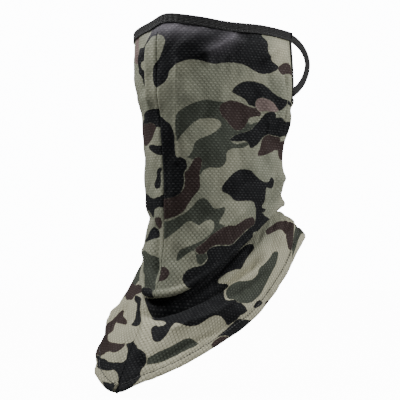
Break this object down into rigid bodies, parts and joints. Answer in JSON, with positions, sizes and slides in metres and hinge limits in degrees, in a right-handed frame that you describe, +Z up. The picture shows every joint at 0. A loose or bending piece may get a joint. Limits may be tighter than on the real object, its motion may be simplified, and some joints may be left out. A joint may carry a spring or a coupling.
{
  "type": "neck gaiter face mask with ear loops",
  "caption": "Camouflage knit neck gaiter face mask in its worn shape, with an elastic-bound rim, ear loops and a pointed bib.",
  "frame": {"origin": "middle of the head opening, on the tube's axis and level with the peak of the nose rim", "axes": "+Z up along the tube, the nose and the bib's point towards -Y, the wearer's left side at +X"},
  "size_m": [0.174, 0.26, 0.3555],
  "materials": {
    "camo_knit": "perforated polyester knit, camouflage print in sage, olive, brown and black, slight sheen",
    "binding_tape": "black ribbed elastic binding tape, matt",
    "loop_elastic": "black flat elastic, matt",
    "seam_thread": "olive polyester thread",
    "black_thread": "black polyester thread"
  },
  "bodies": {
    "root": {"left_panel": "camo_knit", "right_panel": "camo_knit", "nose_binding": "binding_tape", "nape_binding": "binding_tape", "front_seam_thread": "seam_thread", "back_seam_thread": "seam_thread", "nose_binding_thread": "black_thread", "nape_binding_thread": "black_thread", "left_hem_thread": "black_thread", "right_hem_thread": "black_thread", "left_loop_tacks": "black_thread", "right_loop_tacks": "black_thread"},
    "left_loop": {"left_ear_loop": "loop_elastic"},
    "right_loop": {"right_ear_loop": "loop_elastic"}
  },
  "joints": [
    {"name": "left_loop_swing", "type": "hinge", "parent": "root", "child": "left_loop", "pos_m": [0.0719, 0.0296, -0.0103], "axis": [0, 0.1116, -0.9938], "range_deg": [-45, 65], "stiffness_Nm_per_rad": 0.002},
    {"name": "right_loop_swing", "type": "hinge", "parent": "root", "child": "right_loop", "pos_m": [-0.0719, 0.0296, -0.0103], "axis": [0, -0.1116, 0.9938], "range_deg": [-45, 65], "stiffness_Nm_per_rad": 0.002}
  ]
}
